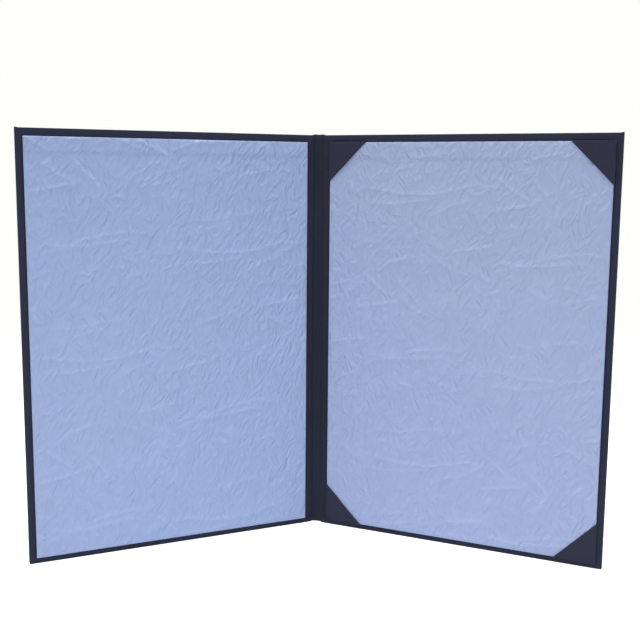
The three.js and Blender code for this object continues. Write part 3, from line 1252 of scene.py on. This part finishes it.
@dataclass(frozen=True)
class Lamp:
    """A soft rectangular lamp that faces the cover."""

    name: str
    place: tuple[float, float, float]
    size: tuple[float, float]
    watts: float
    colour: Colour

    def add(self, aim: Vector) -> None:
        """Hangs the lamp and turns it to the aim."""
        data = bpy.data.lights.new(self.name, "AREA")
        data.shape = "RECTANGLE"
        data.energy, data.color = self.watts, self.colour
        data.size, data.size_y = self.size
        lamp = bpy.data.objects.new(self.name, data)
        lamp.visible_camera = False
        place = Vector(self.place)
        turned = (aim - place).to_track_quat("-Z", "Y").to_matrix().to_4x4()
        lamp.matrix_world = Matrix.Translation(place) @ turned
        bpy.context.scene.collection.objects.link(lamp)


LAMPS = (
    Lamp("overhead", (0, -0.18, 1.3), (0.8, 0.5), 14.6, (1.0, 0.99, 0.975)),
    Lamp("left", (-1.5, -0.6, 0.6), (1.2, 1.2), 6.4, (1.0, 0.8, 0.5)),
    Lamp("right", (1.5, -0.6, 0.6), (1.2, 1.2), 3.8, (0.52, 0.85, 1.0)),
    Lamp("low", (0, -0.5, 0.07), (0.9, 0.1), 0.95, (0.97, 0.98, 1.0)),
)


@dataclass
class Studio:
    """The white table, the soft light and the camera."""

    camera_place: Vector = field(default_factory=lambda: Vector((-0.48, -727.3, 280.23)) * MM)
    heading: float = 0.18
    tilt: float = -8.386
    roll: float = 0.506
    lens: float = 55.595
    aim: Vector = field(default_factory=lambda: Vector((0, 0, 0.15)))
    white: Colour = (0.993, 1.0, 0.962)
    even: Colour = (0.97, 0.985, 1.0)
    even_strength: float = 0.1
    floor_reach: float = 1.0
    floor_paint: Colour = (0.86, 0.86, 0.86)
    floor_lift: float = 0.8

    def build(self) -> None:
        """Sets up the camera, the world, the lamps and the floor."""
        self.add_camera()
        self.light_world()
        for lamp in LAMPS:
            lamp.add(self.aim)
        self.add_floor()
        bpy.context.scene.view_settings.view_transform = "Standard"

    def add_camera(self) -> None:
        """Puts the camera where the photograph was taken from."""
        data = bpy.data.cameras.new("camera")
        data.lens = self.lens
        data.sensor_width = 36
        camera = bpy.data.objects.new("camera", data)
        aim = (
            Matrix.Rotation(-math.radians(self.heading), 4, "Z")
            @ Matrix.Rotation(math.pi / 2 + math.radians(self.tilt), 4, "X")
            @ Matrix.Rotation(math.radians(self.roll), 4, "Z")
        )
        camera.matrix_world = Matrix.Translation(self.camera_place) @ aim
        bpy.context.scene.collection.objects.link(camera)
        bpy.context.scene.camera = camera

    def light_world(self) -> None:
        """Even light from all round, and white where the camera looks past the floor."""
        world = bpy.data.worlds.new("studio")
        world.use_nodes = True
        world.node_tree.nodes.clear()
        graph = Graph(world.node_tree)
        even = graph.node("ShaderNodeBackground", Color=(*self.even, 1), Strength=self.even_strength)
        seen = graph.node("ShaderNodeBackground", Color=(*self.white, 1), Strength=1.0)
        both = graph.shader("ShaderNodeMixShader", self.seen_rays(graph), even.outputs[0], seen.outputs[0])
        graph.feed(graph.node("ShaderNodeOutputWorld").inputs["Surface"], both)
        bpy.context.scene.world = world

    @staticmethod
    def seen_rays(graph: Graph) -> bpy.types.NodeSocket:
        """1 for camera, glossy and transmission rays, which should meet the white."""
        ray = graph.node("ShaderNodeLightPath")
        mask = ray.outputs["Is Camera Ray"]
        for kind in ("Is Glossy Ray", "Is Transmission Ray"):
            mask = graph.math("MAXIMUM", mask, ray.outputs[kind])
        return mask

    def add_floor(self) -> None:
        """Adds the white table top, which keeps the cover's shadow."""
        bm = bmesh.new()
        bmesh.ops.create_grid(bm, x_segments=1, y_segments=1, size=self.floor_reach)
        mesh = bpy.data.meshes.new("table_top")
        bm.to_mesh(mesh)
        bm.free()
        mesh.materials.append(self.floor_material())
        floor = bpy.data.objects.new("table_top", mesh)
        bpy.context.scene.collection.objects.link(floor)
        floor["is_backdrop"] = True

    def floor_material(self) -> bpy.types.Material:
        """White with a lift for the camera, so that open floor is plain white and shadow stays."""
        made = bpy.data.materials.new("white_table")
        made.use_nodes = True
        made.node_tree.nodes.clear()
        graph = Graph(made.node_tree)
        paint = graph.node("ShaderNodeBsdfDiffuse", Color=(*self.floor_paint, 1))
        glow = graph.node("ShaderNodeEmission", Color=(1, 1, 1, 1), Strength=self.floor_lift)
        none = graph.node("ShaderNodeEmission", Color=(0, 0, 0, 1), Strength=0.0)
        lift = graph.shader("ShaderNodeMixShader", self.seen_rays(graph), none.outputs[0], glow.outputs[0])
        both = graph.shader("ShaderNodeAddShader", paint.outputs[0], lift)
        graph.feed(graph.node("ShaderNodeOutputMaterial").inputs["Surface"], both)
        return made


def write_sizes() -> None:
    """Works out the solids' box and the dressed part's box as plain lists, and keeps them nowhere."""
    boxes = {"cad": cad_box, "visual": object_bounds()}
    {name: [list(corner) for corner in box] for name, box in boxes.items()}


def main() -> None:
    """Builds the studio, the two covers and the pockets."""
    logging.basicConfig(level=logging.INFO, format="%(message)s")
    Studio().build()
    pins = {joint["name"]: Vector(joint["pos_m"]) for joint in frame["joints"]}
    pattern = CreasePattern()
    cell = pattern.cell()
    covers = (
        (Side.BACK, pins["back_joint"], pins["front_joint"], (0.0, 0.0), 12.5 * MM),
        (Side.FRONT, pins["front_joint"], pins["back_joint"], (-24.0, 120.0), 11.0 * MM),
    )
    for side, hinge, other, paper_cut, ledge_from_top in covers:
        cover = Cover(CoverPlace(side, hinge, other), pattern, cell, paper_cut, ledge_from_top)
        cover.build()
        if side is Side.BACK:
            cover.add_pockets()
    write_sizes()


if __name__ == "__main__":
    main()
